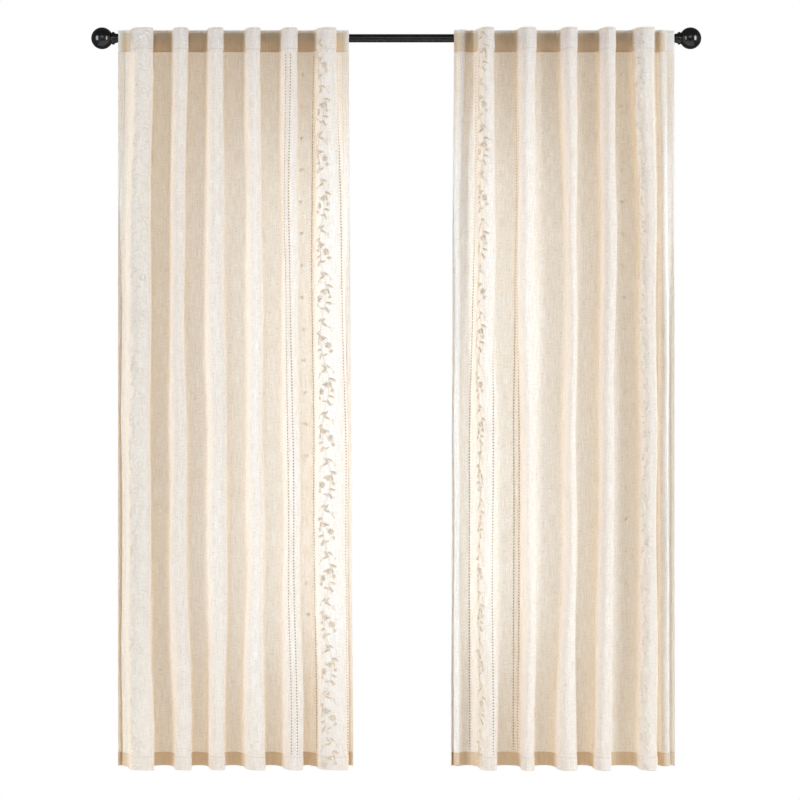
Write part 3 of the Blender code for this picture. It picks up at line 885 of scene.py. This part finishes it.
# Back tabs: a folded tape down from its top seam, over the back of the rod and forward to its bottom seam
tab = {
    "width": 36.0, "thick": 1.2, "seamY": -11.25, "top": 20.0, "topBend": 15.0, "bottomBend": -36.0,
    "bottom": -42.0, "radius": 13.05, "arcSteps": 22, "runSteps": 5, "columns": 9,
    "lean": 0.6, "ripple": 0.25, "rippleTurn": 0.35, "rippleStart": 6.0,
}


def tabLine():
    def meets(height, sign):
        reach = math.acos(tab["radius"] / math.hypot(tab["seamY"], height))
        return math.atan2(height, tab["seamY"]) + sign * reach

    first, last = meets(tab["topBend"], -1), meets(tab["bottomBend"], 1)
    turns = np.linspace(first, last, tab["arcSteps"])
    arc = [(tab["radius"] * math.cos(a), tab["radius"] * math.sin(a)) for a in turns]
    upper = [(tab["seamY"], z) for z in np.linspace(tab["top"], tab["topBend"], 3)]
    lower = [(tab["seamY"], z) for z in np.linspace(tab["bottomBend"], tab["bottom"], 4)]
    down = np.linspace(upper[-1], arc[0], tab["runSteps"])[1:-1]
    forward = np.linspace(arc[-1], lower[0], tab["runSteps"] + 3)[1:-1]
    return np.array([*upper, *map(tuple, down), *arc, *map(tuple, forward), *lower])


def makeTab(name, centre, seed):
    rng = random.Random(seed)
    line = tabLine()
    run = runAlong(line)
    across = np.linspace(-0.5, 0.5, tab["columns"]) * tab["width"]
    lean, ripple = rng.uniform(-tab["lean"], tab["lean"]), rng.uniform(0.0, tab["rippleStart"])
    points, flat = [], []
    for (y, z), along in zip(line, run):
        middle = math.sin(math.pi * along / run[-1])
        for x in across:
            wave = tab["ripple"] * middle * math.sin(x * tab["rippleTurn"] + ripple)
            away = np.array([y, z]) / max(math.hypot(y, z), 1e-6) * abs(wave)
            points.append((centre + x + lean * middle, y + away[0], z + away[1]))
            flat.append((x * mm, along * mm))
    faces = gridFaces(len(line), tab["columns"])[:, [0, 3, 2, 1]].tolist()
    piece = buildPiece(name, np.array(points) * mm, faces, tabMaterial, "flat", np.array(flat))
    deselectAll()
    piece.select_set(True)
    bpy.context.view_layer.objects.active = piece
    thick = piece.modifiers.new("thickness", "SOLIDIFY")
    thick.thickness = tab["thick"] * mm
    thick.offset = 0.0
    bpy.ops.object.modifier_apply(modifier=thick.name)
    return piece, run[-1]


# Rod: a steel tube with softly rounded ends
rod = {"radius": 12.0, "halfLength": 816.7, "sides": 96, "endBevel": 0.6}


def makeRod():
    deselectAll()
    bpy.ops.mesh.primitive_cylinder_add(
        vertices=rod["sides"], radius=rod["radius"] * mm, depth=2 * rod["halfLength"] * mm,
        rotation=(0.0, math.pi / 2, 0.0))
    piece = bpy.context.object
    piece.name = "curtainRod"
    bpy.ops.object.transform_apply(rotation=True)
    edge = piece.modifiers.new("ends", "BEVEL")
    edge.width, edge.segments, edge.limit_method = rod["endBevel"] * mm, 2, "ANGLE"
    bpy.ops.object.modifier_apply(modifier=edge.name)
    bpy.ops.object.shade_smooth_by_angle(angle=math.radians(35))
    piece.data.materials.append(rodMaterial)
    return piece


# Finials: a collar, a step, a ring and a ball, turned in one
finial = {
    "bore": 12.3, "bottom": 817.0, "collarStart": 808.0, "collarRadius": 13.4, "stepStart": 813.5,
    "stepRadius": 14.8, "ringStart": 817.0, "ringEnd": 824.0, "ringRadius": 18.4, "rounding": 1.4,
    "grooveRadius": 16.2, "ballCentre": 853.0, "ballRadius": 31.5, "ballSteps": 26, "sides": 72,
    "edge": 0.3, "stepEdge": 0.4,
}


# Rings of the turned shape as pairs of place along the rod and radius, from the collar's mouth to the tip
def finialRings():
    f = finial
    rings = [
        (f["collarStart"] + f["edge"], f["bore"]), (f["collarStart"], f["bore"] + f["edge"]),
        (f["collarStart"], f["collarRadius"] - f["edge"]), (f["collarStart"] + f["edge"], f["collarRadius"]),
        (f["stepStart"], f["collarRadius"]), (f["stepStart"], f["stepRadius"] - f["stepEdge"]),
        (f["stepStart"] + f["stepEdge"], f["stepRadius"]), (f["ringStart"], f["stepRadius"]),
    ]
    for turn in np.linspace(0.0, math.pi / 2, 5):
        rings.append((f["ringStart"] + f["rounding"] * (1 - math.cos(turn)),
                      f["ringRadius"] - f["rounding"] * (1 - math.sin(turn))))
    for turn in np.linspace(0.0, math.pi / 2, 5):
        rings.append((f["ringEnd"] - f["rounding"] * (1 - math.sin(turn)),
                      f["ringRadius"] - f["rounding"] * (1 - math.cos(turn))))
    rings.append((f["ringEnd"], f["grooveRadius"]))
    ballStart = math.asin(f["grooveRadius"] / f["ballRadius"])
    for turn in np.linspace(ballStart, math.pi, f["ballSteps"])[:-1]:
        rings.append((f["ballCentre"] - f["ballRadius"] * math.cos(turn), f["ballRadius"] * math.sin(turn)))
    return rings


def makeFinial(name, side):
    rings = finialRings()
    deselectAll()
    start, radius = rings[0]
    bpy.ops.mesh.primitive_circle_add(
        vertices=finial["sides"], radius=radius * mm, fill_type="NOTHING",
        location=(start * mm, 0.0, 0.0), rotation=(0.0, math.pi / 2, 0.0))
    piece = bpy.context.object
    piece.name = name
    bpy.ops.object.transform_apply(location=True, rotation=True)
    bpy.ops.object.mode_set(mode="EDIT")
    bpy.ops.mesh.select_all(action="SELECT")
    for along, wide in rings[1:]:
        bpy.ops.mesh.extrude_region_move(TRANSFORM_OT_translate={"value": ((along - start) * mm, 0.0, 0.0)})
        grow = wide / radius
        bpy.ops.transform.resize(value=(1.0, grow, grow), center_override=(along * mm, 0.0, 0.0))
        start, radius = along, wide
    tip = (finial["ballCentre"] + finial["ballRadius"] - start) * mm
    bpy.ops.mesh.extrude_region_move(TRANSFORM_OT_translate={"value": (tip, 0.0, 0.0)})
    bpy.ops.mesh.merge(type="CENTER")
    bpy.ops.object.mode_set(mode="OBJECT")
    # The bore runs in from the collar's mouth to its flat bottom
    mouth = [v.index for v in piece.data.vertices if abs(v.co.x - rings[0][0] * mm) < 1e-6
             and abs(math.hypot(v.co.y, v.co.z) - rings[0][1] * mm) < 1e-5]
    for vertex in piece.data.vertices:
        vertex.select = vertex.index in mouth
    bpy.ops.object.mode_set(mode="EDIT")
    bpy.ops.mesh.select_mode(type="EDGE")
    deep = (finial["bottom"] - rings[0][0]) * mm
    bpy.ops.mesh.extrude_region_move(TRANSFORM_OT_translate={"value": (deep, 0.0, 0.0)})
    bpy.ops.mesh.edge_face_add()
    bpy.ops.mesh.select_all(action="SELECT")
    bpy.ops.mesh.normals_make_consistent(inside=False)
    if side < 0:
        bpy.ops.transform.resize(value=(-1.0, 1.0, 1.0), center_override=(0.0, 0.0, 0.0))
        bpy.ops.mesh.normals_make_consistent(inside=False)
    bpy.ops.object.mode_set(mode="OBJECT")
    bpy.ops.object.shade_smooth_by_angle(angle=math.radians(38))
    piece.data.materials.append(finialMaterial)
    return piece


def declare(piece, slotName, *nodes):
    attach(piece, "root")
    if nodes:
        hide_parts(*nodes)
    return piece


# Everything is made, hung from the root, and the imported parts it stands for are hidden
declare(makeRod(), "black_steel", "rod")
declare(makeFinial("finialLeft", -1), "black_finial", "finial_left")
declare(makeFinial("finialRight", 1), "black_finial", "finial_right")
print("rod and finials are made")

leafMotif, petalMotif, knotMotif = makeMotif("leaf", 8, 7), makeMotif("petal", 6, 5), makeMotif("knot", 6, 4)
halfVine = vineHalf(leafMotif, petalMotif, knotMotif)
stitchModel, bundleModel = makeThread(stitch), makeThread(bundle)
for side in ("Left", "Right"):
    hung = hangCloth(side)
    clothPiece = declare(sewPanel(side, hung), "curtain_cloth", f"panel_{side.lower()}")
    sewnOn = [embroider(side, hung, halfVine, leafMotif), sewStitches(side, hung, stitchModel),
              tieRows(side, hung, bundleModel)]
    for piece in sewnOn:
        declare(piece, "curtain_cloth")
    for number, centre in enumerate(panels[side]["tabs"], 1):
        tabPiece, tabLength = makeTab(f"tab{side}{number}", centre, number + 20 * len(side))
        declare(tabPiece, "tab_cloth", f"tab_{side.lower()}_{number}")
    print(f"{side} panel hangs")


# Studio: a white surround that lights softly, a pale floor, and soft lights from the sides
studio = {
    "seen": 1.0, "fill": 0.11, "aim": (0.0, 0.0, -1.05),
    "floor": {"place": (0.0, -1.5, -2.26), "size": (4.6, 3.6), "light": "#f7f7f6", "dark": "#efefee"},
    # Each lamp: name, place, size, power in watts, colour, spread in degrees, and whether gloss shows it
    "lamps": (
        ("keyRight", (5.0, -3.6, -0.2), (2.0, 3.6), 316.0, "#eef5fb", 180.0, True),
        ("keyLeft", (-5.0, -3.6, -0.2), (2.0, 3.6), 244.0, "#eef5fb", 180.0, True),
        ("front", (0.0, -7.0, 1.2), (4.0, 2.5), 62.0, "#f4f6f8", 180.0, True),
        ("backRight", (5.0, 2.4, 0.0), (2.0, 3.2), 186.0, "#ffebc2", 180.0, False),
        ("backLeft", (-5.0, 2.4, 0.0), (2.0, 3.2), 178.0, "#ffebc2", 180.0, False),
        ("glow", (0.0, 0.36, -1.05), (1.0, 1.55), 11.6, "#a8c6ff", 120.0, False),
    ),
}


def setStudio():
    world = bpy.data.worlds.new("white surround")
    bpy.context.scene.world = world
    world.use_nodes = True
    tree = world.node_tree
    tree.nodes.clear()
    white = (1.0, 1.0, 1.0, 1.0)
    fill = addNode(tree, "Background", inputs={"Color": white, "Strength": studio["fill"]})
    seen = addNode(tree, "Background", inputs={"Color": white, "Strength": studio["seen"]})
    toCamera = addNode(tree, "LightPath").outputs["Is Camera Ray"]
    both = addNode(tree, "MixShader", inputs={0: toCamera, 1: fill, 2: seen})
    addNode(tree, "OutputWorld", inputs={"Surface": both})
    for name, spot, size, power, colour, spread, shownInGloss in studio["lamps"]:
        turn = (Vector(studio["aim"]) - Vector(spot)).to_track_quat("-Z", "Y").to_euler()
        bpy.ops.object.light_add(type="AREA", location=spot, rotation=turn)
        lamp = bpy.context.object
        lamp.name = name
        lamp.data.shape = "RECTANGLE"
        lamp.data.size, lamp.data.size_y = size
        lamp.data.energy = power
        lamp.data.color = hexColour(colour)[:3]
        lamp.data.spread = math.radians(spread)
        lamp.visible_camera = False
        lamp.visible_glossy = shownInGloss
    deselectAll()
    rows = studio["floor"]
    bpy.ops.mesh.primitive_plane_add(size=1.0, location=rows["place"])
    floor = bpy.context.object
    floor.name = "studioFloor"
    floor.scale = (*rows["size"], 1.0)
    bpy.ops.object.transform_apply(location=True, scale=True)
    made, tree = emptyMaterial("pale matt vinyl floor")
    spot = addNode(tree, "TexCoord").outputs["Object"]
    grain = addNode(tree, "TexNoise", inputs={"Vector": spot, "Scale": 3.0, "Detail": 2.0})
    colour = addNode(tree, "Mix", colours, {"Factor": grain, "A": rows["dark"], "B": rows["light"]})
    matt = addNode(tree, "BsdfPrincipled", inputs={"Base Color": colour, "Roughness": 0.9})
    addNode(tree, "OutputMaterial", inputs={"Surface": matt})
    floor.data.materials.append(made)


setStudio()
bpy.context.scene.view_settings.view_transform = "Standard"
print("studio is set")
